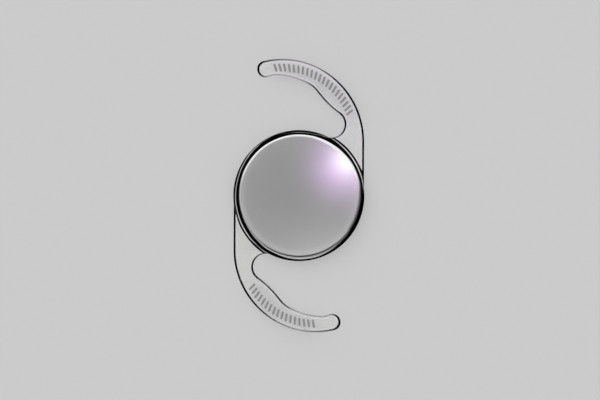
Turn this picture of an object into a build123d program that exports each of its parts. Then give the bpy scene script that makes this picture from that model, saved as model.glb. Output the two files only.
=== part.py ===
from build123d import *
import math
import os

# Intraocular lens: a foldable lens that takes the place of the eye's own lens.
# It is turned and milled from one button of clear acrylic, so the round optic
# and the two C-shaped arms that centre it, its haptics, are a single solid.
#
# Frame: the optic's axis is Z with the anterior face up, the posterior vertex
# is at the origin, and the overall length runs along Y. All sizes are in mm.

# Optic: two parabolic faces, of about +19 dioptres in the eye
optic_diameter = 5.75
optic_zone_diameter = 5.35
anterior_vertex_radius = 13.0
posterior_vertex_radius = 13.0
zone_edge_thickness = 0.52

# Rim: a steep bevel comes down from the refracting zone to a narrow flat land
rim_thickness = 0.34
bevel_width = 0.105

# Haptics: flat plates in the optic's middle plane, a small step below the land
overall_length = 12.0
haptic_thickness = 0.26
root_inset = 0.02

# Outer edge of a haptic: a straight run off the optic, then one long arc
outer_radius = 3.61
crown_offset = 0.745

# Round tip at the end of the outer arc
tip_radius = 0.36
tip_bearing = 102.9
tip_fillet_radius = 0.8

# Inner edge: the broad pad, the knee, the waist and the round beside the optic
pad_width = 0.70
inner_radius = 2.97
inner_offset = 1.06
knee_radius = 1.28
knee_turn = 23.4
waist_radius = 4.6
gap_radius = 0.585
gap_bearing = 65.5

# Edges: tumbled round in front, left square behind to hold back cell growth
anterior_edge_radius = 0.05
posterior_edge_radius = 0.015

# Worked out from the sizes above
optic_radius = optic_diameter / 2
zone_radius = optic_zone_diameter / 2
root_radius = optic_radius - root_inset
anterior_sag = zone_radius**2 / (2 * anterior_vertex_radius)
posterior_sag = zone_radius**2 / (2 * posterior_vertex_radius)
middle_plane = zone_edge_thickness / 2 + posterior_sag


def unit(bearing):
    """Unit vector in the plan at a bearing in degrees from +X."""
    return Vector(math.cos(math.radians(bearing)), math.sin(math.radians(bearing)))


def bearing_of(start, end):
    """Bearing in degrees from one point of the plan to another."""
    return math.degrees(math.atan2(end.Y - start.Y, end.X - start.X))


def third_corner(first, second, from_first, from_second):
    """Point at two given distances from two points, left of the line between them."""
    span = (second - first).length
    along = (from_first**2 - from_second**2 + span**2) / (2 * span)
    aside = math.sqrt(from_first**2 - along**2)
    forward = (second - first).normalized()
    left = Vector(-forward.Y, forward.X)
    return first + forward * along + left * aside


def arc(centre, radius, start_bearing, end_bearing, turn):
    """Arc about a centre, counter-clockwise for a turn of 1 and clockwise for -1."""
    sweep = (turn * (end_bearing - start_bearing)) % 360
    return CenterArc(centre, radius, start_bearing, turn * sweep)


def haptic_edges():
    """Half of the haptic plate's outline: the upper haptic, then a run inside the rim."""
    optic = Vector(0, 0)
    outer = Vector(-crown_offset, overall_length / 2 - outer_radius)
    inner = Vector(-inner_offset, overall_length / 2 - pad_width - inner_radius)
    tip = outer + unit(tip_bearing) * (outer_radius - tip_radius)
    gap = unit(gap_bearing) * (root_radius + gap_radius)

    # The straight run touches the root circle and the outer arc on their right side
    reach = (outer - optic).length
    root_bearing = bearing_of(optic, outer)
    root_bearing -= math.degrees(math.acos((root_radius - outer_radius) / reach))

    # The tip's fillet lies in the gap, against the tip and inside the inner arc
    fillet = third_corner(
        tip, inner, tip_radius + tip_fillet_radius, inner_radius - tip_fillet_radius
    )
    # The knee turns the inner arc by a set angle into the waist, which bulges into
    # the gap and touches the round beside the optic
    inner_to_knee = inner_radius - knee_radius
    knee_to_waist = waist_radius + knee_radius
    bend = 2 * inner_to_knee * knee_to_waist * math.cos(math.radians(knee_turn))
    inner_to_waist = math.sqrt(inner_to_knee**2 + knee_to_waist**2 + bend)
    waist = third_corner(inner, gap, inner_to_waist, waist_radius + gap_radius)
    knee = third_corner(inner, waist, inner_to_knee, knee_to_waist)

    root_start = optic + unit(root_bearing) * root_radius
    root_end = outer + unit(root_bearing) * outer_radius
    return [
        Line(root_start, root_end),
        arc(outer, outer_radius, root_bearing, tip_bearing, 1),
        arc(tip, tip_radius, tip_bearing, bearing_of(tip, fillet), 1),
        arc(fillet, tip_fillet_radius, bearing_of(fillet, tip), bearing_of(inner, fillet), -1),
        arc(inner, inner_radius, bearing_of(inner, fillet), bearing_of(inner, knee), -1),
        arc(knee, knee_radius, bearing_of(inner, knee), bearing_of(knee, waist), -1),
        arc(waist, waist_radius, bearing_of(waist, knee), bearing_of(waist, gap), 1),
        arc(gap, gap_radius, bearing_of(gap, waist), bearing_of(gap, optic), -1),
        arc(optic, root_radius, gap_bearing, root_bearing + 180, 1),
    ]


def haptic_plate():
    """Both haptics as one flat plate, which runs through the optic's middle."""
    half = haptic_edges()
    turned_half = [edge.rotate(Axis.Z, 180) for edge in half]
    outline = make_face(Wire(half + turned_half))
    plate = extrude(Pos(0, 0, -haptic_thickness / 2) * outline, haptic_thickness)
    plate = fillet(plate.faces().sort_by(Axis.Z)[-1].edges(), anterior_edge_radius)
    return fillet(plate.faces().sort_by(Axis.Z)[0].edges(), posterior_edge_radius)


def half_section(side, sag, edge_radius):
    """Section of one side of the optic, from its vertex to its outer wall; side is 1 or -1."""
    zone_edge = side * zone_edge_thickness / 2
    land = side * rim_thickness / 2
    vertex = zone_edge + side * sag
    bevel_foot = zone_radius + bevel_width
    land_end = optic_radius - edge_radius
    wall_start = land - side * edge_radius
    # A parabola is the Bezier curve whose middle point is level with its vertex
    return [
        Bezier((0, vertex), (zone_radius / 2, vertex), (zone_radius, zone_edge)),
        Line((zone_radius, zone_edge), (bevel_foot, land)),
        Line((bevel_foot, land), (land_end, land)),
        RadiusArc((land_end, land), (optic_radius, wall_start), side * edge_radius),
    ]


def optic_body():
    """The optic: both lens faces, the bevels, the lands and the square wall, turned."""
    front = half_section(1, anterior_sag, anterior_edge_radius)
    back = half_section(-1, posterior_sag, posterior_edge_radius)
    axis_line = Line(back[0] @ 0, front[0] @ 0)
    wall_line = Line(back[-1] @ 1, front[-1] @ 1)
    section = make_face(Wire(front + back + [axis_line, wall_line]))
    return revolve(Plane.XZ * section, Axis.Z)


def lens_body():
    """The whole lens, standing on its posterior vertex."""
    return Pos(0, 0, middle_plane) * (optic_body() + haptic_plate())


os.makedirs("parts", exist_ok=True)
export_step(lens_body(), "parts/lens_body.step")
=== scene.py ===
import cmath
import math

import bpy
from bpy.props import FloatProperty, FloatVectorProperty, IntProperty, PointerProperty
from bpy.types import Operator, Panel, PropertyGroup
from mathutils import Matrix, Vector


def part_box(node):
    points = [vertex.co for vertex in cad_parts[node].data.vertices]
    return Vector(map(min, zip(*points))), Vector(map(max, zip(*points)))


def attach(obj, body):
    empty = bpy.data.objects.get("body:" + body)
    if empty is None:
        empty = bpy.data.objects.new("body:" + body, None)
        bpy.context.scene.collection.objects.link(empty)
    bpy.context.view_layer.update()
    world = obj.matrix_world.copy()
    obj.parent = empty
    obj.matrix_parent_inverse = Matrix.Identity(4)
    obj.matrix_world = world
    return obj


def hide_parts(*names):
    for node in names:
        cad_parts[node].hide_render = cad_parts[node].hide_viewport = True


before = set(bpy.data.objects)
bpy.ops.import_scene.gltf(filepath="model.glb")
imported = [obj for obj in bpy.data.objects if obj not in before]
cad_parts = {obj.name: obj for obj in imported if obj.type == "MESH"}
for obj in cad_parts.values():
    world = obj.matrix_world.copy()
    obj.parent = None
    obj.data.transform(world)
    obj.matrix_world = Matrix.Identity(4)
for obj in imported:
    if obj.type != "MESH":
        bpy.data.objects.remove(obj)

# A one-piece lens implant lying on a table, seen from above. Its body is built again
# from the real part's sizes with finer facets and the finish of each surface.
# Everything is in metres in the frame of the packed model: the optic's axis is Z and
# the overall length runs along Y.

bl_info = {
    "name": "Lens Implant",
    "version": (1, 0, 0),
    "blender": (4, 5, 0),
    "location": "View3D > Sidebar > Lens",
    "description": "Makes a clear foldable lens implant, its etched marks and the table it lies on",
    "category": "Add Mesh",
}

MM = 0.001

# Size of the picture in pixels
FRAME_WIDTH = 600
FRAME_HEIGHT = 400

# Corners of the real part's box, and the height of the plane that halves it
LOW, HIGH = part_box("lens_body")
MIDDLE_PLANE = (LOW.z + HIGH.z) / 2

# Points nearer to each other than this are made one
SAME_POINT = 0.0001 * MM

# How far outside the rim the middle of one of the optic's facets may lie
RIM_SLACK = 0.0005 * MM

# How far in from the haptics' outline the edges' finish, with its painted dark line, reaches, and where
# the edges' section starts on the flat face, both in widths of that painted dark line
EDGE_REACH = 1.6
SECTION_REACH = 1.5 * EDGE_REACH

BLACK = (0.0, 0.0, 0.0)
WHITE = (1.0, 1.0, 1.0)


def length_property(name, description, millimetres):
    """A length that the user sets, held in metres."""
    return FloatProperty(
        name=name,
        description=description,
        default=millimetres * MM,
        min=0.0,
        precision=6,
        subtype="DISTANCE",
        unit="LENGTH",
    )


def angle_property(name, description, degrees):
    """An angle that the user sets, held in radians."""
    return FloatProperty(
        name=name, description=description, default=math.radians(degrees), subtype="ANGLE"
    )


def count_property(name, description, default, least):
    """A whole number that the user sets."""
    return IntProperty(name=name, description=description, default=default, min=least)


def number_property(name, description, default, most=1.0):
    """A share, a strength or another plain number with no unit, from nought."""
    return FloatProperty(
        name=name, description=description, default=default, min=0.0, max=most, precision=4
    )


def colour_property(name, description, default):
    """A colour that the user picks."""
    return FloatVectorProperty(
        name=name, description=description, default=default, size=3, min=0.0, subtype="COLOR"
    )


class LensOpticSizes(PropertyGroup):
    """Sizes of the optic's section."""

    diameter: length_property("Diameter", "Across the optic's rim", (HIGH.x - LOW.x) / MM)
    thickness: length_property("Thickness", "Along the axis, vertex to vertex", (HIGH.z - LOW.z) / MM)
    zone_diameter: length_property("Zone diameter", "Across the polished zone", 5.35)
    vertex_radius: length_property("Vertex radius", "Radius of both faces at the axis", 13.0)
    rim_thickness: length_property("Rim thickness", "Between the two lands at the rim", 0.34)
    bevel_width: length_property("Bevel width", "From the zone out to the land", 0.105)
    front_edge_radius: length_property("Front edge radius", "Rounding of the front edges", 0.05)
    back_edge_radius: length_property("Back edge radius", "Rounding of the square back edges", 0.015)
    turning_steps: count_property("Turning steps", "Facets round the optic", 360, 24)
    zone_rings: count_property("Zone rings", "Rings of facets over each polished zone", 22, 4)
    crease: angle_property("Crease angle", "Edges sharper than this aren't shaded smooth", 24.0)


class LensHapticSizes(PropertyGroup):
    """Sizes of the two haptics' outline and plate."""

    overall_length: length_property("Overall length", "Across both haptics", (HIGH.y - LOW.y) / MM)
    thickness: length_property("Thickness", "Of the flat plate", 0.26)
    root_inset: length_property("Root inset", "How far the plate's edge runs inside the rim", 0.02)
    outer_radius: length_property("Outer radius", "Of the long outer arc", 3.61)
    crown_offset: length_property("Crown offset", "Of the outer arc's centre from the axis", 0.745)
    tip_radius: length_property("Tip radius", "Of the round tip", 0.36)
    tip_bearing: angle_property("Tip bearing", "Where the outer arc ends", 102.9)
    tip_fillet_radius: length_property("Tip fillet radius", "Hollow between tip and pad", 0.8)
    pad_width: length_property("Pad width", "Across the broad pad", 0.70)
    inner_radius: length_property("Inner radius", "Of the pad's inner edge", 2.97)
    inner_offset: length_property("Inner offset", "Of the inner arc's centre from the axis", 1.06)
    knee_radius: length_property("Knee radius", "Of the round from the pad to the waist", 1.28)
    knee_turn: angle_property("Knee turn", "Angle that the knee turns through", 23.4)
    waist_radius: length_property("Waist radius", "Of the long slack arc of the waist", 4.6)
    gap_radius: length_property("Gap radius", "Of the round beside the optic", 0.585)
    gap_bearing: angle_property("Gap bearing", "Where that round meets the optic", 65.5)
    # The dark line is painted shade; its width also places the rows of the edge's section
    line_width: length_property("Line width", "Of the dark line that the round edge shows", 0.084)
    step: length_property("Step", "Longest facet along the outline", 0.05)


class LensMarkSizes(PropertyGroup):
    """Sizes of the plain etched bars on each haptic's pad."""

    upper_first: angle_property("Upper first", "Upper haptic's bar nearest the tip", 95.0)
    upper_last: angle_property("Upper last", "Upper haptic's bar nearest the root", 23.0)
    lower_first: angle_property("Lower first", "Lower haptic's bar nearest the tip", 88.0)
    lower_last: angle_property("Lower last", "Lower haptic's bar nearest the root", 30.0)
    pitch: angle_property("Pitch", "From one bar to the next, about", 3.6)
    edge_distance: length_property("Edge distance", "From the outer edge to the bars' middle", 0.38)
    length: length_property("Length", "Of a bar across the pad", 0.36)
    width: length_property("Width", "Of a bar", 0.1)
    slant: angle_property("Slant", "Of each bar from straight across", 14.0)
    depth: length_property("Depth", "Of the etched layer", 0.012)
    proud: length_property("Proud", "How far its frosted skin stands out of the face", 0.0012)


class LensFinish(PropertyGroup):
    """Looks of the acrylic and its surfaces."""

    # The absorption and the optic's colour darken the optic as painted shade, deeper where it is thicker
    absorption: number_property("Absorption", "Of light in the acrylic, per metre", 260.0, 10000.0)
    optic_painted_shade_colour: colour_property("Optic colour", "Tint of the optic's middle", (0.825, 0.83, 0.822))
    clear_colour: colour_property("Clear colour", "Tint of the thin haptics", (0.965, 0.985, 0.955))
    # Colour of the painted shade on the rim's rings and the haptics' edges
    painted_shade_colour: colour_property("Dark colour", "Of edges that bend light away", (0.0006, 0.0006, 0.0009))
    wall_colour: colour_property("Wall colour", "Of the milled and turned walls", (0.56, 0.56, 0.57))
    # Colour of the painted highlights on the rim's ridge and fine line
    painted_highlight_colour: colour_property("Pale colour", "Of the ridge that catches light", (0.97, 0.97, 0.98))
    mark_colour: colour_property("Mark colour", "Of the etched bars", (0.22, 0.22, 0.22))
    polished_roughness: number_property("Polished roughness", "Of the optic", 0.025)
    satin_roughness: number_property("Satin roughness", "Of the haptics' faces", 0.12)
    tumbled_roughness: number_property("Tumbled roughness", "Of edges and walls", 0.3)
    haze: number_property("Haze", "Share of the optic's front that scatters softly", 0.27)
    haze_roughness: number_property("Haze roughness", "Of that share", 0.28)
    optic_shade: number_property("Optic shade", "Light that each face of the optic keeps back", 0.17)
    haptic_shade: number_property("Haptic shade", "Light that each face of a haptic keeps back", 0.02)
    index: number_property("Refractive index", "Of the wet acrylic", 1.46, 3.0)


class LensStageSettings(PropertyGroup):
    """Table, lights and camera."""

    floor_width: length_property("Floor width", "Of the square table top", 3000.0)
    floor_colour: colour_property("Floor colour", "Of the table top", (0.655, 0.655, 0.655))
    backdrop_colour: colour_property("Backdrop colour", "Behind the table", (0.58, 0.58, 0.58))
    dome_zenith: colour_property("Dome zenith", "Of the soft dome overhead", (0.80, 0.80, 0.80))
    dome_horizon: colour_property("Dome horizon", "Of the dome's low edge", (0.03, 0.03, 0.03))
    key_strength: number_property("Key strength", "Of the soft lamp", 1.4, 100.0)
    key_tilt: angle_property("Key tilt", "Of the soft lamp off the zenith", 40.0)
    key_bearing: angle_property("Key bearing", "Of the soft lamp in the plan", 128.0)
    key_spread: angle_property("Key spread", "Angle that the soft lamp fills", 70.0)
    window_tilt: angle_property("Window tilt", "Of the soft window off the zenith", 35.0)
    window_bearing: angle_property("Window bearing", "Of the soft window in the plan", 286.0)
    window_spread: angle_property("Window spread", "Angle over which it fades", 20.0)
    window_strength: number_property("Window strength", "Of the soft window in reflections", 4.8, 100.0)
    glow_tilt: angle_property("Glow tilt", "Of the round reflector off the zenith", 22.2)
    glow_bearing: angle_property("Glow bearing", "Of the round reflector in the plan", 33.7)
    glow_distance: length_property("Glow distance", "From lens to reflector", 300.0)
    glow_halo: length_property("Glow halo", "Radius of its coloured light", 65.0)
    glow_reach: number_property("Glow reach", "Reflector's radius over that of its halo", 2.6, 10.0)
    glow_core: length_property("Glow core", "Radius of the reflector's bright spot", 31.0)
    core_aside: length_property("Core aside", "How far that spot lies out from the middle", 15.5)
    core_beside: length_property("Core beside", "How far that spot lies to the side of that", 6.0)
    core_strength: number_property("Core strength", "Of the bright spot", 18.5, 1000.0)
    core_colour: colour_property("Core colour", "Of the bright spot", (0.81, 1.0, 0.78))
    halo_strength: number_property("Halo strength", "Of the coloured light", 18.0, 1000.0)
    halo_colour: colour_property("Halo colour", "Of the light round the spot", (0.81, 0.445, 1.0))
    focal_length: FloatProperty(
        name="Focal length", description="Of the camera", default=100.0, min=1.0, subtype="DISTANCE_CAMERA"
    )
    lens_length_pixels: number_property(
        "Lens length in the picture", "Overall length of the lens in pixels", 273.0, 4096.0
    )
    optic_pixel: FloatVectorProperty(
        name="Optic in the picture",
        description="Pixel where the optic's axis lands, from the top left",
        default=(298.85, 195.6),
        size=2,
    )


class Signal:
    """An output socket of a node. Arithmetic on signals adds the Math nodes that do it."""

    def __init__(self, tree, socket):
        self.tree = tree
        self.socket = socket

    def math(self, operation, *others):
        """This signal and others through one Math node."""
        values = dict(enumerate((self, *others)))
        return add_node(self.tree, "ShaderNodeMath", values, operation=operation)

    def __add__(self, other):
        return self.math("ADD", other)

    __radd__ = __add__

    def __sub__(self, other):
        return self.math("SUBTRACT", other)

    def __rsub__(self, other):
        return self.math("MULTIPLY_ADD", -1.0, other)

    def __mul__(self, other):
        return self.math("MULTIPLY", other)

    __rmul__ = __mul__

    def __truediv__(self, other):
        return self.math("DIVIDE", other)

    def at_least(self, other):
        """The larger of this and another value."""
        return self.math("MAXIMUM", other)

    def rises(self, low, high):
        """A smooth step from 0 at low to 1 at high."""
        values = {"Value": self, "From Min": low, "From Max": high}
        settings = {"interpolation_type": "SMOOTHSTEP"}
        return add_node(self.tree, "ShaderNodeMapRange", values, "Result", **settings)

    def passes(self, place, softness):
        """A smooth step from 0 to 1 where this value passes a place."""
        return ((self - place) / softness).rises(-1.0, 1.0)


def add_node(tree, kind, values=None, output=0, **settings):
    """Add a node with its settings and its sockets' values or links, and give one output."""
    node = tree.nodes.new(kind)
    for name, setting in settings.items():
        setattr(node, name, setting)
    for key, value in (values or {}).items():
        for source in value if isinstance(value, list) else [value]:
            if isinstance(source, Signal):
                tree.links.new(source.socket, node.inputs[key])
            else:
                node.inputs[key].default_value = source
    return Signal(tree, node.outputs[output]) if node.outputs else node


def split(vector):
    """The X, Y and Z of a vector signal."""
    first = add_node(vector.tree, "ShaderNodeSeparateXYZ", {"Vector": vector})
    return [Signal(vector.tree, output) for output in first.socket.node.outputs]


def joined(tree, x, y, z):
    """A vector signal from three values."""
    return add_node(tree, "ShaderNodeCombineXYZ", {"X": x, "Y": y, "Z": z})


def squared_length(x, y):
    """The square of how long a step in the plan is."""
    return x * x + y * y


def unit(bearing):
    """Unit step in the plan at a bearing in radians; plan points are complex numbers."""
    return cmath.rect(1.0, bearing)


def third_corner(first, second, from_first, from_second):
    """Point at two given distances from two points, left of the line between them."""
    span = abs(second - first)
    along = (from_first**2 - from_second**2 + span**2) / (2 * span)
    aside = math.sqrt(from_first**2 - along**2)
    return first + (along + 1j * aside) * (second - first) / span


def meeting_point(first, second):
    """Where two tangent arcs meet, each a centre, a radius, a turn and its weights."""
    centre, radius, turn, _ = first
    next_centre, next_radius, next_turn, _ = second
    reach = turn * radius
    return centre + (next_centre - centre) * reach / (reach - next_turn * next_radius)


def blended(values, share):
    """Value at a share of the way along a few evenly spaced ones."""
    place = share * (len(values) - 1)
    index = min(int(place), len(values) - 2)
    return values[index] + (values[index + 1] - values[index]) * (place - index)


def line_points(start, end, weights, step):
    """Points of a straight run, its last left off, with the plate on its left."""
    count = max(3, math.ceil(abs(end - start) / step))
    way_out = -1j * (end - start) / abs(end - start)
    shares = [i / count for i in range(count)]
    return [(start + (end - start) * t, way_out, blended(weights, t)) for t in shares]


def arc_points(centre, radius, turn, weights, start, end, step):
    """Points of an arc, its last left off, each with the way out of the plate and a weight.

    The turn is 1 for an arc that runs counter-clockwise and -1 for one that runs clockwise.
    """
    sweep = (turn * cmath.phase((end - centre) / (start - centre))) % math.tau
    count = max(3, math.ceil(sweep * radius / step))
    points = []
    for share in (i / count for i in range(count)):
        way = (start - centre) / radius * unit(turn * sweep * share)
        points.append((centre + radius * way, turn * way, blended(weights, share)))
    return points


def haptic_outline(optic, haptic):
    """The plate's outline through both haptics, in tangent runs that meet end to end.

    Each point comes with its way out of the plate and with the weight of the dark line of painted shade
    along
    the rounded edge there: faint and narrow at 0, full at 1 and broader above that.
    """
    root_radius = optic.diameter / 2 - haptic.root_inset
    top = haptic.overall_length / 2
    outer = complex(-haptic.crown_offset, top - haptic.outer_radius)
    inner = complex(-haptic.inner_offset, top - haptic.pad_width - haptic.inner_radius)
    tip = outer + unit(haptic.tip_bearing) * (haptic.outer_radius - haptic.tip_radius)
    gap = unit(haptic.gap_bearing) * (root_radius + haptic.gap_radius)

    # The tip's fillet lies in the gap, against the tip and inside the inner arc
    tip_to_fillet = haptic.tip_radius + haptic.tip_fillet_radius
    inner_to_fillet = haptic.inner_radius - haptic.tip_fillet_radius
    fillet = third_corner(tip, inner, tip_to_fillet, inner_to_fillet)

    # The knee turns the inner arc by a set angle into the waist
    inner_to_knee = haptic.inner_radius - haptic.knee_radius
    knee_to_waist = haptic.waist_radius + haptic.knee_radius
    inner_to_waist = abs(inner_to_knee + knee_to_waist * unit(haptic.knee_turn))
    waist = third_corner(inner, gap, inner_to_waist, haptic.waist_radius + haptic.gap_radius)
    knee = third_corner(inner, waist, inner_to_knee, knee_to_waist)

    # The straight run touches the circle inside the rim and the outer arc
    lean = math.acos((root_radius - haptic.outer_radius) / abs(outer))
    root_way = unit(cmath.phase(outer) - lean)
    root_start = root_way * root_radius
    root_end = outer + root_way * haptic.outer_radius

    # Centre, radius, turn and weights of each arc's painted dark line, the last arc inside the rim
    arcs = [
        (outer, haptic.outer_radius, 1, (1.1, 1.1, 1.1, 1.0, 0.7, 0.4, 0.3, 0.45, 0.75)),
        (tip, haptic.tip_radius, 1, (0.8, 1.35, 1.4, 1.1, 0.7, 0.25)),
        (fillet, haptic.tip_fillet_radius, -1, (0.25, 0.2)),
        (inner, haptic.inner_radius, -1, (0.2, 0.15, 0.15, 0.5)),
        (knee, haptic.knee_radius, -1, (0.6, 0.85)),
        (waist, haptic.waist_radius, 1, (0.85, 0.8, 0.7, 0.8)),
        (gap, haptic.gap_radius, -1, (0.9, 1.0, 0.9, 0.4, 0.65)),
        (0, root_radius, 1, (0.7, 1.1)),
    ]
    meetings = [meeting_point(*pair) for pair in zip(arcs, arcs[1:])]
    starts = [root_end, *meetings]
    ends = [*meetings, -root_start]
    half = line_points(root_start, root_end, (1.1, 1.1), haptic.step)
    for arc, start, end in zip(arcs, starts, ends):
        half += arc_points(*arc, start, end, haptic.step)
    return half + [(-point, -way, weight) for point, way, weight in half]


def rounding(height, radius, steps=6):
    """Quarter round from a flat face over to a wall, as steps away from the wall and heights."""
    angles = [math.pi / 2 * (1 - i / steps) for i in range(steps + 1)]
    return [(radius * (1 - math.cos(a)), height - radius * (1 - math.sin(a))) for a in angles]


def optic_side(optic, edge_radius):
    """Section of the optic's upper half, from the axis out to the wall: radii and heights."""
    rim = optic.diameter / 2
    zone = optic.zone_diameter / 2
    vertex = optic.thickness / 2
    land = optic.rim_thickness / 2
    rings = [zone * i / optic.zone_rings for i in range(optic.zone_rings + 1)]
    section = [(r, vertex - r**2 / (2 * optic.vertex_radius)) for r in rings]
    section.append((zone + optic.bevel_width, land))
    return section + [(rim - away, z) for away, z in rounding(land, edge_radius)]


def haptic_side(haptic, edge_radius):
    """Section of the plate's upper half at its edge, inwards of the outline: insets and heights."""
    half = haptic.thickness / 2
    reaches = (SECTION_REACH, EDGE_REACH, 1.0)
    return [(reach * haptic.line_width, half) for reach in reaches] + rounding(half, edge_radius)


def new_mesh(name, points, edges=(), faces=()):
    """A mesh from its points and the edges or faces between them."""
    mesh = bpy.data.meshes.new(name)
    mesh.from_pydata(points, edges, faces)
    return mesh


def new_object(name, data):
    """An object that shows a mesh, a lamp or a camera, in the scene."""
    holder = bpy.data.objects.new(name, data)
    bpy.context.scene.collection.objects.link(holder)
    return holder


def section_wire(name, half_section, sizes, optic):
    """A whole section as a chain of points, down the front half and back under the other."""
    front = half_section(sizes, optic.front_edge_radius)
    back = half_section(sizes, optic.back_edge_radius)
    section = front + [(across, -height) for across, height in reversed(back)]
    links = [(i, i + 1) for i in range(len(section) - 1)]
    return new_object(name, new_mesh(name, [(across, 0.0, z) for across, z in section], links))


def outline_wire(name, outline):
    """The plate's outline as a closed chain of points, which keep their way out and weight."""
    count = len(outline)
    links = [(i, (i + 1) % count) for i in range(count)]
    mesh = new_mesh(name, [(point.real, point.imag, 0.0) for point, _, _ in outline], links)
    attribute = mesh.attributes.new("way_out", "FLOAT_VECTOR", "POINT")
    values = [x for _, way, weight in outline for x in (way.real, way.imag, weight)]
    attribute.data.foreach_set("vector", values)
    return new_object(name, mesh)


def new_geometry_tree(name, **kinds):
    """An empty geometry tree with inputs of each kind, and their signals by name."""
    tree = bpy.data.node_groups.new(name, "GeometryNodeTree")
    titles = ["Geometry"]
    tree.interface.new_socket(name="Geometry", in_out="INPUT", socket_type="NodeSocketGeometry")
    for kind, names in kinds.items():
        for title in names:
            tree.interface.new_socket(name=title, in_out="INPUT", socket_type=f"NodeSocket{kind}")
            titles.append(title)
    tree.interface.new_socket(name="Geometry", in_out="OUTPUT", socket_type="NodeSocketGeometry")
    source = tree.nodes.new("NodeGroupInput")
    return tree, {title: Signal(tree, source.outputs[title]) for title in titles}


def finish_tree(geometry, materials):
    """End a tree: plain faces, then each material over the faces that its mask picks."""
    tree = geometry.tree
    geometry = add_node(tree, "GeometryNodeRealizeInstances", {"Geometry": geometry})
    for material, mask in materials:
        values = {"Geometry": geometry, "Material": material, "Selection": mask}
        geometry = add_node(tree, "GeometryNodeSetMaterial", values)
    add_node(tree, "NodeGroupOutput", {"Geometry": geometry})


def baked_piece(name, holder, tree, values):
    """Run a tree on an object and keep the result as a plain mesh under the piece's name."""
    modifier = holder.modifiers.new(tree.name, "NODES")
    modifier.node_group = tree
    inputs = [item for item in tree.interface.items_tree if item.in_out == "INPUT"]
    identifiers = {item.name: item.identifier for item in inputs}
    for title, value in values.items():
        modifier[identifiers[title]] = value
    graph = bpy.context.evaluated_depsgraph_get()
    mesh = bpy.data.meshes.new_from_object(holder.evaluated_get(graph), depsgraph=graph)
    if len(mesh.polygons) == 0:
        raise RuntimeError(f"the tree {tree.name} made no faces for {name}")
    bpy.data.objects.remove(holder)
    mesh.name = name
    return new_object(name, mesh)


def positions(tree):
    """Where each point lies."""
    return add_node(tree, "GeometryNodeInputPosition")


def ways_out(tree):
    """The way out of the plate, with the line's weight, that each point of the outline keeps."""
    values = {"Name": "way_out"}
    return add_node(tree, "GeometryNodeInputNamedAttribute", values, data_type="FLOAT_VECTOR")


def sampled(geometry, index, vectors):
    """The vector of one point of a geometry, picked by its index."""
    values = {"Geometry": geometry, "Value": vectors, "Index": index}
    kind = "FLOAT_VECTOR"
    return add_node(geometry.tree, "GeometryNodeSampleIndex", values, data_type=kind)


def point_count(geometry):
    """How many points a mesh has."""
    values = {"Geometry": geometry}
    return add_node(geometry.tree, "GeometryNodeAttributeDomainSize", values, "Point Count")


def flipped(faces):
    """Faces turned to look the other way."""
    return add_node(faces.tree, "GeometryNodeFlipFaces", {"Mesh": faces})


def placed(geometry, position):
    """A geometry with its points moved to a position."""
    values = {"Geometry": geometry, "Position": position}
    return add_node(geometry.tree, "GeometryNodeSetPosition", values)


def sewn(geometry):
    """A mesh with the points that lie on each other made one."""
    values = {"Geometry": geometry, "Distance": SAME_POINT}
    return add_node(geometry.tree, "GeometryNodeMergeByDistance", values)


def woven(tree, columns, rows):
    """A grid of facets with the column and row number of each point."""
    values = {"Size X": columns, "Size Y": rows - 1, "Vertices X": columns + 1, "Vertices Y": rows}
    grid = flipped(add_node(tree, "GeometryNodeMeshGrid", values, "Mesh"))
    x, y, _ = split(positions(tree))
    column = (x + columns / 2).math("ROUND")
    row = (y + (rows - 1) / 2).math("ROUND")
    return grid, column, row


def turned_body(section, steps):
    """The optic: its section carried round Z."""
    tree = section.tree
    grid, column, row = woven(tree, steps, point_count(section))
    across, _, height = split(sampled(section, row, positions(tree)))
    angle = column * math.tau / steps
    x = across * angle.math("COSINE")
    y = across * angle.math("SINE")
    return sewn(placed(grid, joined(tree, x, y, height)))


def moved_in(point, way_out, inset, height):
    """A point of the outline moved into the plate by an inset, and to a height."""
    x, y, _ = split(point)
    out_x, out_y, _ = split(way_out)
    return joined(point.tree, x - out_x * inset, y - out_y * inset, height)


def carried_body(outline, section):
    """The haptics' plate: the edge's section carried along the outline, and two flat faces."""
    tree = outline.tree
    columns = point_count(outline)
    rows = point_count(section)
    grid, column, row = woven(tree, columns, rows)
    corner = column.math("MODULO", columns)
    inset, _, height = split(sampled(section, row, positions(tree)))
    point = sampled(outline, corner, positions(tree))
    way_out = sampled(outline, corner, ways_out(tree))
    parts = [placed(grid, moved_in(point, way_out, inset, height))]
    for end, upwards in ((0, True), (rows - 1, False)):
        inset, _, height = split(sampled(section, end, positions(tree)))
        ring = placed(outline, moved_in(positions(tree), ways_out(tree), inset, 0.0))
        curve = add_node(tree, "GeometryNodeMeshToCurve", {"Mesh": ring})
        face = add_node(tree, "GeometryNodeFillCurve", {"Curve": curve})
        face = face if upwards else flipped(face)
        x, y, _ = split(positions(tree))
        parts.append(placed(face, joined(tree, x, y, height)))
    return sewn(add_node(tree, "GeometryNodeJoinGeometry", {"Geometry": parts}))


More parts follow.
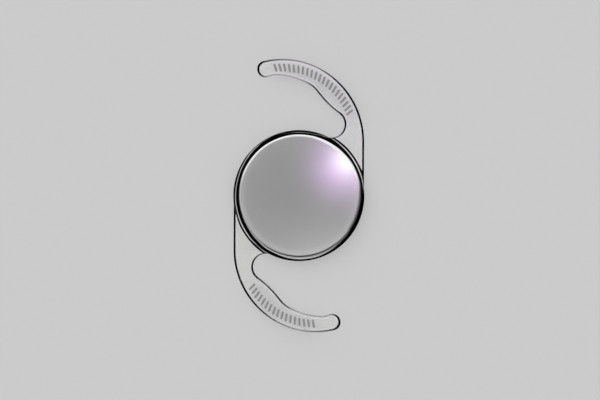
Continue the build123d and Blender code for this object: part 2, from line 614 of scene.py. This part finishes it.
def lens_tree():
    """The tree that turns the optic, carries the haptics' edge and joins both into one body."""
    tree, inputs = new_geometry_tree(
        "Lens Body",
        Object=("Optic Section", "Edge Section"),
        Int=("Turning Steps",),
        Float=("Crease Angle", "Zone Radius", "Rim Radius", "Edge Width", "Middle Plane"),
        Material=("Polished", "Rim", "Satin", "Edge"),
    )
    outline = inputs["Geometry"]
    optic_section, edge_section = (
        add_node(tree, "GeometryNodeObjectInfo", {"Object": inputs[title]}, "Geometry")
        for title in ("Optic Section", "Edge Section")
    )
    bodies = [turned_body(optic_section, inputs["Turning Steps"]), carried_body(outline, edge_section)]
    settings = {"operation": "UNION", "solver": "MANIFOLD"}
    body = add_node(tree, "GeometryNodeMeshBoolean", {1: bodies}, **settings)

    # How far each point lies inside the haptics' outline, in the plan, and its way out
    x, y, z = split(positions(tree))
    plan = joined(tree, x, y, 0.0)
    values = {0: outline, "Source Position": plan}
    settings = {"target_element": "EDGES"}
    inset = add_node(tree, "GeometryNodeProximity", values, "Distance", **settings)
    values = {"Geometry": outline, "Sample Position": plan}
    nearest = add_node(tree, "GeometryNodeSampleNearest", values)
    way_out = sampled(outline, nearest, ways_out(tree))
    for title, kind, value in (("inset", "FLOAT", inset), ("way_out", "FLOAT_VECTOR", way_out)):
        values = {"Geometry": body, "Name": title, "Value": value}
        settings = {"data_type": kind, "domain": "POINT"}
        body = add_node(tree, "GeometryNodeStoreNamedAttribute", values, **settings)

    angle = add_node(tree, "GeometryNodeInputMeshEdgeAngle")
    crease = angle.math("GREATER_THAN", inputs["Crease Angle"])
    body = add_node(tree, "GeometryNodeSetShadeSmooth", {"Geometry": body})
    values = {"Geometry": body, "Selection": crease, "Shade Smooth": False}
    body = add_node(tree, "GeometryNodeSetShadeSmooth", values, domain="EDGE")
    body = placed(body, joined(tree, x, y, z + inputs["Middle Plane"]))

    # Each surface's finish, by where the middle of its facets lies
    radius = squared_length(x, y).math("SQRT")
    on_optic = radius.math("LESS_THAN", inputs["Rim Radius"])
    masks = {
        "Satin": True,
        "Edge": inset.math("LESS_THAN", inputs["Edge Width"]) * (1 - on_optic),
        "Rim": on_optic,
        "Polished": radius.math("LESS_THAN", inputs["Zone Radius"]),
    }
    finish_tree(body, [(inputs[title], mask) for title, mask in masks.items()])
    return tree


def marks_tree():
    """The tree that lays a row of slanted bars with round ends along a haptic's pad."""
    floats = "Row Radius", "First", "Sweep", "Length", "Width", "Thickness", "Slant", "Height", "Turn"
    tree, inputs = new_geometry_tree(
        "Haptic Marks", Vector=("Row Centre",), Int=("Count",), Float=floats, Material=("Material",)
    )
    values = {
        "Resolution": inputs["Count"],
        "Radius": inputs["Row Radius"],
        "Start Angle": inputs["First"],
        "Sweep Angle": inputs["Sweep"],
    }
    row = add_node(tree, "GeometryNodeCurveArc", values, "Curve")
    values = {"Vector": add_node(tree, "GeometryNodeInputTangent")}
    settings = {"axis": "X", "pivot_axis": "Z"}
    heading = add_node(tree, "FunctionNodeAlignRotationToVector", values, **settings)
    values = {"Rotation": heading, "Rotate By": joined(tree, 0.0, 0.0, inputs["Slant"])}
    turn = add_node(tree, "FunctionNodeRotateRotation", values, rotation_space="LOCAL")

    # A short round rod, pulled apart at its middle into a bar with round ends
    sides = 16
    values = {"Vertices": sides, "Radius": inputs["Width"] / 2, "Depth": inputs["Thickness"]}
    bar = add_node(tree, "GeometryNodeMeshCylinder", values, "Mesh", fill_type="NGON")
    x, y, z = split(positions(tree))
    reach = (inputs["Length"] - inputs["Width"]) / 2
    bar = placed(bar, joined(tree, x, y + y.math("SIGN") * reach, z))
    values = {"Points": row, "Instance": bar, "Rotation": turn}
    bars = add_node(tree, "GeometryNodeInstanceOnPoints", values)

    # The row goes out to the haptic's pad, and from there up to the face and round the axis
    values = {"Geometry": bars, "Translation": inputs["Row Centre"]}
    bars = add_node(tree, "GeometryNodeTransform", values)
    values = {
        "Geometry": bars,
        "Translation": joined(tree, 0.0, 0.0, inputs["Height"]),
        "Rotation": joined(tree, 0.0, 0.0, inputs["Turn"]),
    }
    bars = add_node(tree, "GeometryNodeTransform", values)
    finish_tree(bars, [(inputs["Material"], True)])
    return tree


def empty_tree(owner):
    """The node tree of a material or a world, with nothing in it."""
    owner.use_nodes = True
    owner.node_tree.nodes.clear()
    return owner.node_tree


def new_material(name):
    """An empty material and its tree."""
    material = bpy.data.materials.new(name)
    return material, empty_tree(material)


def place_on_object(tree):
    """The shaded point in the object's own metres."""
    return add_node(tree, "ShaderNodeTexCoord", output="Object")


def kept_value(tree, name, output):
    """A value that the mesh keeps under a name."""
    settings = {"attribute_name": name, "attribute_type": "GEOMETRY"}
    return add_node(tree, "ShaderNodeAttribute", output=output, **settings)


def noise(point, size, detail=2.0):
    """Smooth random values about a half, with patches of a size in metres."""
    values = {"Vector": point, "Scale": 1 / size, "Detail": detail}
    return add_node(point.tree, "ShaderNodeTexNoise", values, "Fac")


def uneven(random, spread):
    """Random values about a half as factors about 1, at most a spread more or less."""
    return (1 - spread) + 2 * spread * random


def waves(value, pitch):
    """Even waves from -1 to 1, one for each pitch of a value."""
    return (value * (math.tau / pitch)).math("SINE")


def opaque(colour):
    """A plain colour with its alpha, or a colour signal as it is."""
    return colour if isinstance(colour, Signal) else (*colour, 1.0)


def mixed(share, first, second, blend="MIX"):
    """One colour over another by a share, or added to it, each a signal or a plain colour."""
    values = {0: share, 6: opaque(first), 7: opaque(second)}
    return add_node(share.tree, "ShaderNodeMix", values, 2, data_type="RGBA", blend_type=blend)


def bumped(height, depth):
    """The surface's normal over relief of a depth in metres."""
    values = {"Height": height, "Strength": 1.0, "Distance": depth}
    return add_node(height.tree, "ShaderNodeBump", values)


def principled(tree, values):
    """The general surface shader with some of its sockets set or linked."""
    return add_node(tree, "ShaderNodeBsdfPrincipled", values)


def see_through(tree, share=1.0):
    """A shader that lets a share of the light straight through."""
    return add_node(tree, "ShaderNodeBsdfTransparent", {"Color": opaque([share] * 3)})


def either(share, first, second):
    """One shader over another by a share."""
    return add_node(first.tree, "ShaderNodeMixShader", {0: share, 1: first, 2: second})


def by_rays(surface, looks):
    """A shader with other looks for some kinds of ray."""
    for ray, look in looks:
        kind = add_node(surface.tree, "ShaderNodeLightPath", output=ray)
        surface = either(kind, surface, look)
    return surface


def finish_material(surface):
    """Link a shader to the material's output."""
    add_node(surface.tree, "ShaderNodeOutputMaterial", {"Surface": surface})


def glassy(finish, colour, roughness, normal):
    """A shader that bends light as the acrylic does."""
    values = {
        "Base Color": colour,
        "Roughness": roughness,
        "IOR": finish.index,
        "Transmission Weight": 1.0,
        "Normal": normal,
    }
    return principled(normal.tree, values)


def hazy_front(finish, point, colour, roughness, normal):
    """Clear acrylic that scatters a part of the light softly at its front."""
    _, _, z = split(point)
    share = z.math("GREATER_THAN", MIDDLE_PLANE) * finish.haze
    clear = glassy(finish, colour, roughness, normal)
    return either(share, clear, glassy(finish, colour, finish.haze_roughness, normal))


def finish_acrylic(surface, normal, shade, layers=()):
    """End a material: layers over its acrylic, and lamplight let through less a little shade.

    Each layer is a share and a plain colour, of painted light or shade, that covers the surface by that
    share.
    """
    tree = surface.tree
    for share, colour in layers:
        values = {
            "Base Color": opaque(colour),
            "Roughness": 0.6,
            "Specular IOR Level": 0.0,
            "Normal": normal,
        }
        surface = either(share, surface, principled(tree, values))
    let_through = see_through(tree, 1 - shade)
    rays = ("Is Diffuse Ray", "Is Shadow Ray")
    finish_material(by_rays(surface, [(ray, let_through) for ray in rays]))


def radius_of(point):
    """A point's distance from the optic's axis."""
    x, y, _ = split(point)
    return squared_length(x, y).math("SQRT")


def turn_of(point):
    """A point's share of a turn round the optic's axis, from +X."""
    x, y, _ = split(point)
    return (y.math("ARCTAN2", x) / math.tau).math("FRACT")


def round_the_rim(turn, stops):
    """A value that changes round the rim, from its values at some bearings in degrees."""
    ramp = add_node(turn.tree, "ShaderNodeValToRGB", {"Fac": turn}, "Color")
    elements = ramp.socket.node.color_ramp.elements
    ramp.socket.node.color_ramp.interpolation = "EASE"
    for i, (bearing, value) in enumerate([*stops.items(), (360, stops[0])]):
        stop = elements[i] if i < 2 else elements.new(1.0)
        stop.position = bearing / 360
        stop.color = (value, value, value, 1.0)
    return ramp


def painted_optic_shading(point, optic, finish):
    """The optic's tint, painted shade that is less where it is thinner, and paler in a painted band of
    light by the bevel.
    """
    radius = radius_of(point)
    depth = optic.thickness - radius * radius / optic.vertex_radius
    clearness = (depth * -finish.absorption).math("EXPONENT")
    colour = mixed(clearness, BLACK, finish.optic_painted_shade_colour)

    # The band is painted light, for light that the zone gathers beside the bevel, least along the top
    brightness = round_the_rim(turn_of(point), {
        0: 0.35, 30: 0.25, 60: 0.03, 120: 0.03, 150: 0.32, 180: 0.62, 210: 0.68, 240: 0.62,
        270: 0.42, 330: 0.42,
    })
    band = (radius / (optic.diameter / 2)).rises(low=0.79, high=0.88)
    return mixed(band * brightness, colour, WHITE)


def rim_parts(point, optic):
    """Masks for the light and shade painted on the rim as it shows from in front, uneven because it is lit
    from one side.

    Returns the share of the rim's radius, the share of a turn, where the painted dark of the bevel starts,
    and the shares of that painted dark and of fine line. All places and widths are shares of that radius.
    """
    share = radius_of(point) / (optic.diameter / 2)
    turn = turn_of(point)

    # The painted dark of the bevel is broadest at the left and least at the bottom, and soft at the lower
    # right
    bevel_start = round_the_rim(turn, {
        0: 0.924, 15: 0.947, 30: 0.949, 45: 0.941, 60: 0.933, 90: 0.931, 120: 0.925, 150: 0.917,
        180: 0.907, 195: 0.907, 210: 0.914, 225: 0.930, 240: 0.949, 268: 0.969, 285: 0.972,
        298: 0.966, 315: 0.934, 330: 0.918, 345: 0.918,
    })
    softness = round_the_rim(turn, {
        0: 0.034, 20: 0.006, 90: 0.005, 150: 0.006, 180: 0.010, 210: 0.009, 240: 0.005, 292: 0.006,
        315: 0.028, 330: 0.034,
    })
    bevel = share.passes(bevel_start, softness)

    # The land between the bevel and the outer edge lets light through as a fine line, where the painted
    # dark is lifted
    line_place = round_the_rim(turn, {
        0: 0.990, 15: 0.997, 30: 0.997, 45: 1.001, 60: 1.006, 67: 0.984, 75: 0.969, 90: 0.965,
        100: 0.967, 112: 0.987, 122: 0.989, 135: 0.981, 150: 0.970, 165: 0.963, 180: 0.965,
        195: 0.967, 210: 0.977, 225: 0.988, 240: 1.0,
    })
    line_width = round_the_rim(turn, {
        0: 0.008, 15: 0.010, 45: 0.010, 65: 0.007, 75: 0.006, 105: 0.006, 150: 0.007, 240: 0.008,
    })
    line = 1 - (share - line_place).math("ABSOLUTE").passes(line_width, softness=0.004)
    return share, turn, bevel_start, bevel, line


def painted_shade_rings(parts):
    """The share of painted shade: the bevel without its fine line, and a grey band inside it."""
    share, turn, _, bevel, line = parts
    line_clearness = round_the_rim(turn, {
        0: 0.0, 14: 0.8, 30: 1.0, 60: 0.8, 72: 0.4, 90: 0.5, 100: 0.1, 112: 0.0, 120: 0.6, 135: 0.9,
        150: 1.0, 240: 1.0, 248: 0.4, 254: 0.0,
    })
    dark = bevel * (1 - line * line_clearness)

    # The outer dark line of painted shade ends about at the rim, and a little beyond it where a haptic
    # starts
    end = round_the_rim(turn, {
        0: 1.012, 15: 1.038, 30: 1.032, 45: 1.037, 62: 1.036, 72: 1.008, 90: 1.0, 105: 0.988,
        120: 0.992, 135: 1.002, 165: 1.0, 198: 1.0, 210: 1.014, 242: 1.034, 270: 1.01,
    })
    dark = dark * (1 - share.passes(end, softness=0.005))

    # A soft grey band of painted shade lies inside the bevel along the bottom
    grey_place = round_the_rim(turn, {0: 0.930, 210: 0.912, 230: 0.918, 250: 0.926, 270: 0.931})
    grey_strength = round_the_rim(turn, {
        0: 0.3, 30: 0.0, 180: 0.0, 210: 0.2, 230: 0.5, 250: 0.75, 270: 0.9, 300: 0.9, 315: 0.7,
        330: 0.35,
    })
    beyond = share - grey_place
    grey = beyond.passes(-0.016, softness=0.012) * (1 - beyond.passes(0.008, softness=0.012))
    return dark.at_least(grey * grey_strength)


def painted_highlight_rings(parts):
    """The share of painted highlight: on the ridge between zone and bevel, and painted glints of the fine
    line.
    """
    share, turn, bevel_start, bevel, line = parts

    # Painted highlight: the ridge scatters light along the top and at the bottom
    ridge_width = round_the_rim(turn, {
        0: 0.03, 30: 0.06, 60: 0.063, 80: 0.044, 120: 0.038, 150: 0.044, 180: 0.04, 210: 0.03,
    })
    ridge_brightness = round_the_rim(turn, {
        0: 0.0, 20: 0.9, 45: 1.0, 75: 0.93, 105: 0.93, 135: 0.9, 150: 0.7, 175: 0.1, 210: 0.0,
        240: 0.35, 270: 0.9, 290: 0.6, 310: 0.1, 330: 0.0,
    })
    ridge = ((share - bevel_start) / ridge_width).rises(-1.0, -0.25) * (1 - bevel)

    # Painted glints: the fine line glints at the upper right and, weaker, at the left
    glint = round_the_rim(turn, {
        0: 0.0, 15: 0.85, 30: 0.95, 45: 1.0, 58: 0.3, 66: 0.0, 148: 0.0, 162: 0.3, 200: 0.3,
        212: 0.05, 225: 0.12, 240: 0.12, 250: 0.0,
    })
    return (ridge * ridge_brightness).at_least(line * glint)


def wall_share(point, thickness, whole, none):
    """1 about the middle plane and 0 beyond it, between two shares of a thickness."""
    _, _, z = split(point)
    height = (z - MIDDLE_PLANE).math("ABSOLUTE")
    return 1 - height.rises(whole * thickness, none * thickness)


def polished_material(optic, finish):
    """The optic's polished zone, with faint rings left from turning."""
    material, tree = new_material("polished_acrylic")
    point = place_on_object(tree)
    # The tint is painted shade, with a painted band of light by the bevel
    colour = painted_optic_shading(point, optic, finish)
    roughness = finish.polished_roughness * uneven(noise(point, size=0.9 * MM), spread=0.3)
    rings = waves(radius_of(point), pitch=0.16 * MM) * noise(point, size=0.7 * MM)
    normal = bumped(rings, depth=0.0000008 * MM)
    surface = hazy_front(finish, point, colour, roughness, normal)
    finish_acrylic(surface, normal, finish.optic_shade)
    return material


def rim_material(optic, finish):
    """The ridge, the bevel, the land and the turned wall, which show as rings from in front, under painted
    highlights and painted shade.
    """
    material, tree = new_material("rim_acrylic")
    point = place_on_object(tree)
    _, _, z = split(point)
    share = radius_of(point) / (optic.diameter / 2)

    # The polish ends at the ridge, and the wall's finish starts on the rounded edges
    milled = share.rises(low=0.928, high=0.936)
    wall = wall_share(point, optic.rim_thickness, whole=0.24, none=0.34)
    wall = wall * share.rises(low=0.98, high=0.995)
    colour = mixed(milled, painted_optic_shading(point, optic, finish), finish.clear_colour)
    colour = mixed(wall, colour, finish.wall_colour)
    lines = waves(z, pitch=0.018 * MM)
    grain = 0.6 * noise(point, size=0.03 * MM)
    normal = bumped(lines * wall + grain * milled, depth=0.0003 * MM)
    tumbled = finish.tumbled_roughness * uneven(noise(point, size=0.2 * MM), spread=0.4)
    roughness = finish.polished_roughness + tumbled * milled
    surface = hazy_front(finish, point, colour, roughness, normal)
    # Painted highlights on the ridge and fine line, and painted shade on the bevel, kept off the wall
    parts = rim_parts(point, optic)
    dark = painted_shade_rings(parts) * (1 - wall)
    layers = ((painted_highlight_rings(parts), finish.painted_highlight_colour), (dark, finish.painted_shade_colour))
    finish_acrylic(surface, normal, finish.optic_shade, layers)
    return material


def satin_material(optic, haptic, finish):
    """The haptics' flat faces: faintly satin, with a fine tumbled grain, and the rim's painted shade where
    they meet the optic.
    """
    material, tree = new_material("satin_acrylic")
    point = place_on_object(tree)
    mottle = noise(point, size=0.35 * MM, detail=4.0)
    way_through = 0.2 * haptic.thickness
    clearness = math.exp(-finish.absorption * way_through)
    colour = mixed(clearness * uneven(mottle, spread=0.03), BLACK, finish.clear_colour)
    roughness = finish.satin_roughness * uneven(mottle, spread=0.3)
    normal = bumped(noise(point, size=0.028 * MM, detail=3.0), depth=0.0003 * MM)
    surface = glassy(finish, colour, roughness, normal)
    # Painted shade: the rim's outer dark line runs a little onto the plate
    layers = ((painted_shade_rings(rim_parts(point, optic)), finish.painted_shade_colour),)
    finish_acrylic(surface, normal, finish.haptic_shade, layers)
    return material


def edge_material(optic, haptic, finish):
    """The haptics' rounded edges and milled walls, which bend light away; their dark line is painted
    shade.
    """
    material, tree = new_material("edge_acrylic")
    point = place_on_object(tree)
    _, _, z = split(point)
    wall = wall_share(point, haptic.thickness, whole=0.25, none=0.375)
    colour = mixed(wall, finish.clear_colour, finish.wall_colour)
    lines = waves(z, pitch=0.02 * MM)
    grain = 0.8 * noise(point, size=0.04 * MM)
    normal = bumped(lines * wall + grain, depth=0.0004 * MM)
    roughness = finish.tumbled_roughness * uneven(noise(point, size=0.2 * MM), spread=0.4)
    surface = glassy(finish, colour, roughness, normal)

    # The rounded edge's dark line is painted shade, broader and darker where its weight is more, joined by
    # the rim's painted shade
    _, _, weight = split(kept_value(tree, "way_out", "Vector"))
    inset = kept_value(tree, "inset", "Fac")
    beyond = inset - haptic.line_width * (0.5 + 0.5 * weight)
    line = 1 - beyond.rises(-0.012 * MM, 0.0)
    strength = (line * (0.3 + 0.7 * weight)).math("MINIMUM", 1.0)
    dark = strength.at_least(painted_shade_rings(rim_parts(point, optic))) * (1 - wall)
    layers = ((dark, finish.painted_shade_colour),)
    finish_acrylic(surface, normal, finish.haptic_shade, layers)
    return material


def mark_material(finish):
    """The etched bars: a fine grey frost."""
    material, tree = new_material("etched_frost")
    grain = noise(place_on_object(tree), size=0.02 * MM, detail=3.0)
    dark, light = ([factor * c for c in finish.mark_colour] for factor in (0.75, 1.3))
    colour = mixed(grain.rises(low=0.3, high=0.7), dark, light)
    normal = bumped(grain, depth=0.001 * MM)
    finish_material(principled(tree, {"Base Color": colour, "Roughness": 0.7, "Normal": normal}))
    return material


def floor_material(stage):
    """Plain matt table top, not seen from under it."""
    material, tree = new_material("table_top")
    colour = opaque(stage.floor_colour)
    matt = principled(tree, {"Base Color": colour, "Roughness": 1.0, "Specular IOR Level": 0.0})
    under = add_node(tree, "ShaderNodeNewGeometry", output="Backfacing")
    finish_material(either(under, matt, see_through(tree)))
    return material


def glow_material(stage, radius):
    """A round reflector: coloured, with a white spot off its middle, fading out to its edge."""
    material, tree = new_material("round_reflector")
    x, y, _ = split(place_on_object(tree))
    from_middle = squared_length(x, y)
    from_spot = squared_length(x - stage.core_aside, y - stage.core_beside)
    fade = (1 - from_middle / radius**2).at_least(0.0)
    halo = (from_middle * (-1 / stage.glow_halo**2)).math("EXPONENT") * fade
    core = (from_spot * (-1 / stage.glow_core**2)).math("EXPONENT") * fade
    colour = mixed(halo * (stage.halo_strength / stage.core_strength), BLACK, stage.halo_colour)
    colour = mixed(core, colour, stage.core_colour, "ADD")
    values = {"Color": colour, "Strength": stage.core_strength}
    light = add_node(tree, "ShaderNodeEmission", values)
    finish_material(add_node(tree, "ShaderNodeAddShader", {0: light, 1: see_through(tree)}))
    return material


def surroundings(stage):
    """The world: a soft dome overhead, a soft window in reflections, a plain backdrop in sight."""
    world = bpy.data.worlds.new("surroundings")
    tree = empty_tree(world)
    across, along, rise = split(add_node(tree, "ShaderNodeTexCoord", output="Generated"))
    dome = mixed(rise.rises(low=0.15, high=0.9), stage.dome_horizon, stage.dome_zenith)
    level = unit(stage.window_bearing) * math.sin(stage.window_tilt)
    nearness = across * level.real + along * level.imag + rise * math.cos(stage.window_tilt)
    window = ((nearness - 1) * (2 / stage.window_spread**2)).math("EXPONENT")
    shine = mixed(window, dome, [stage.window_strength] * 3, "ADD")
    light, reflected, backdrop = (
        add_node(tree, "ShaderNodeBackground", {"Color": opaque(colour)})
        for colour in (dome, shine, stage.backdrop_colour)
    )
    looks = (("Is Glossy Ray", reflected), ("Is Transmission Ray", backdrop), ("Is Camera Ray", backdrop))
    add_node(tree, "ShaderNodeOutputWorld", {"Surface": by_rays(light, looks)})
    return world


class LENS_OT_body(Operator):
    """Make the lens body: optic and haptics in one, with the finish of each surface and light and shade
    painted on its rings and edges
    """

    bl_idname = "lens.body"
    bl_label = "Lens Body"

    def execute(self, context):
        optic = context.scene.lens_optic
        haptic = context.scene.lens_haptic
        finish = context.scene.lens_finish
        helpers = {
            "Optic Section": section_wire("optic_section", optic_side, optic, optic),
            "Edge Section": section_wire("edge_section", haptic_side, haptic, optic),
        }
        # The zone's last ring of facets has the rim's finish, in which the polish ends
        last_ring = optic.zone_diameter / 2 / optic.zone_rings
        lens = baked_piece(
            "lens",
            outline_wire("haptic_outline", haptic_outline(optic, haptic)),
            lens_tree(),
            {
                **helpers,
                "Turning Steps": optic.turning_steps,
                "Crease Angle": optic.crease,
                "Zone Radius": optic.zone_diameter / 2 - last_ring,
                "Rim Radius": optic.diameter / 2 + RIM_SLACK,
                "Edge Width": EDGE_REACH * haptic.line_width,
                "Middle Plane": MIDDLE_PLANE,
                "Polished": polished_material(optic, finish),
                "Rim": rim_material(optic, finish),
                "Satin": satin_material(optic, haptic, finish),
                "Edge": edge_material(optic, haptic, finish),
            },
        )
        for helper in helpers.values():
            bpy.data.objects.remove(helper)
        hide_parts("lens_body")
        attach(lens, "root")
        return {"FINISHED"}


class LENS_OT_marks(Operator):
    """Etch a row of plain bars into the front of each haptic's pad"""

    bl_idname = "lens.marks"
    bl_label = "Etched Marks"

    def execute(self, context):
        haptic = context.scene.lens_haptic
        marks = context.scene.lens_marks
        centre_y = haptic.overall_length / 2 - haptic.outer_radius
        top = MIDDLE_PLANE + haptic.thickness / 2
        tree = marks_tree()
        frost = mark_material(context.scene.lens_finish)
        for name, first, last, turn in (
            ("upper_marks", marks.upper_first, marks.upper_last, 0.0),
            ("lower_marks", marks.lower_first, marks.lower_last, math.pi),
        ):
            bars = baked_piece(
                name,
                new_object(name, new_mesh(name, [(0.0, 0.0, 0.0)])),
                tree,
                {
                    "Row Centre": (-haptic.crown_offset, centre_y, 0.0),
                    "Count": round((first - last) / marks.pitch) + 1,
                    "Row Radius": haptic.outer_radius - marks.edge_distance,
                    "First": first,
                    "Sweep": last - first,
                    "Length": marks.length,
                    "Width": marks.width,
                    "Thickness": marks.depth + marks.proud,
                    "Slant": marks.slant,
                    "Height": top + (marks.proud - marks.depth) / 2,
                    "Turn": turn,
                    "Material": frost,
                },
            )
            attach(bars, "root")
        return {"FINISHED"}


class LENS_OT_stage(Operator):
    """Make the table, the soft lamp, the round reflector, the surroundings and the camera"""

    bl_idname = "lens.stage"
    bl_label = "Table, Lights and Camera"

    def execute(self, context):
        scene = context.scene
        stage = scene.lens_stage
        self.add_floor(stage)
        self.add_lights(scene, stage)
        self.add_camera(scene, stage)
        scene.view_settings.view_transform = "Standard"
        return {"FINISHED"}

    def add_floor(self, stage):
        """A plain table top at the height that the lens lies on."""
        half = stage.floor_width / 2
        corners = [(-half, -half), (half, -half), (half, half), (-half, half)]
        points = [(x, y, LOW.z) for x, y in corners]
        mesh = new_mesh("table_top", points, faces=[(0, 1, 2, 3)])
        mesh.materials.append(floor_material(stage))
        floor = new_object("table_top", mesh)

    def add_lights(self, scene, stage):
        """One soft lamp, the even light of the surroundings, and the round reflector."""
        lamp = bpy.data.lights.new("soft_lamp", "SUN")
        lamp.energy = stage.key_strength
        lamp.angle = stage.key_spread
        key = new_object("soft_lamp", lamp)
        key.matrix_world = self.aimed(stage.key_bearing, stage.key_tilt, stage.glow_distance)
        key.visible_glossy = False
        key.visible_transmission = False
        scene.world = surroundings(stage)

        radius = stage.glow_reach * stage.glow_halo
        sides = 64
        ring = [radius * unit(math.tau * i / sides) for i in range(sides)]
        points = [(point.real, point.imag, 0.0) for point in ring]
        mesh = new_mesh("round_reflector", points, faces=[range(sides)])
        mesh.materials.append(glow_material(stage, radius))
        reflector = new_object("round_reflector", mesh)
        reflector.matrix_world = self.aimed(stage.glow_bearing, stage.glow_tilt, stage.glow_distance)
        reflector.visible_camera = False
        reflector.visible_diffuse = False
        reflector.visible_transmission = False

    @staticmethod
    def aimed(bearing, tilt, distance):
        """A place off the zenith, turned so that its own down points at the lens."""
        turn = Matrix.Rotation(bearing, 4, "Z") @ Matrix.Rotation(tilt, 4, "Y")
        return turn @ Matrix.Translation(Vector((0.0, 0.0, distance)))

    def add_camera(self, scene, stage):
        """Straight down on the lens, at the scale and place that it has in the picture."""
        data = bpy.data.cameras.new("camera")
        data.lens = stage.focal_length
        data.clip_start = 0.001
        data.clip_end = 10.0
        pixel = scene.lens_haptic.overall_length / stage.lens_length_pixels
        distance = pixel * FRAME_WIDTH * data.lens / data.sensor_width
        camera = new_object("camera", data)
        across = (FRAME_WIDTH / 2 - stage.optic_pixel[0]) * pixel
        along = (stage.optic_pixel[1] - FRAME_HEIGHT / 2) * pixel
        camera.location = (across, along, MIDDLE_PLANE + distance)
        scene.camera = camera


class LENS_PT_sidebar(Panel):
    """Lists what the add-on makes, with its sizes"""

    bl_idname = "LENS_PT_sidebar"
    bl_label = "Lens Implant"
    bl_space_type = "VIEW_3D"
    bl_region_type = "UI"
    bl_category = "Lens"

    def draw(self, context):
        for operator in OPERATORS:
            self.layout.operator(operator.bl_idname)
        for name, kind in SETTINGS.items():
            box = self.layout.box()
            box.label(text=kind.__doc__)
            for key in kind.__annotations__:
                box.prop(getattr(context.scene, name), key)


SETTINGS = {
    "lens_optic": LensOpticSizes,
    "lens_haptic": LensHapticSizes,
    "lens_marks": LensMarkSizes,
    "lens_finish": LensFinish,
    "lens_stage": LensStageSettings,
}
OPERATORS = (LENS_OT_body, LENS_OT_marks, LENS_OT_stage)
CLASSES = (*SETTINGS.values(), *OPERATORS, LENS_PT_sidebar)


def register():
    """Register the classes and hang the settings on the scene."""
    for kind in CLASSES:
        bpy.utils.register_class(kind)
    for name, kind in SETTINGS.items():
        setattr(bpy.types.Scene, name, PointerProperty(type=kind))


def unregister():
    """Take the settings off the scene and unregister the classes."""
    for name in SETTINGS:
        delattr(bpy.types.Scene, name)
    for kind in reversed(CLASSES):
        bpy.utils.unregister_class(kind)


def main():
    """Make every piece in order."""
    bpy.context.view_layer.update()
    register()
    bpy.ops.lens.body()
    bpy.ops.lens.marks()
    bpy.ops.lens.stage()


if __name__ == "__main__":
    main()
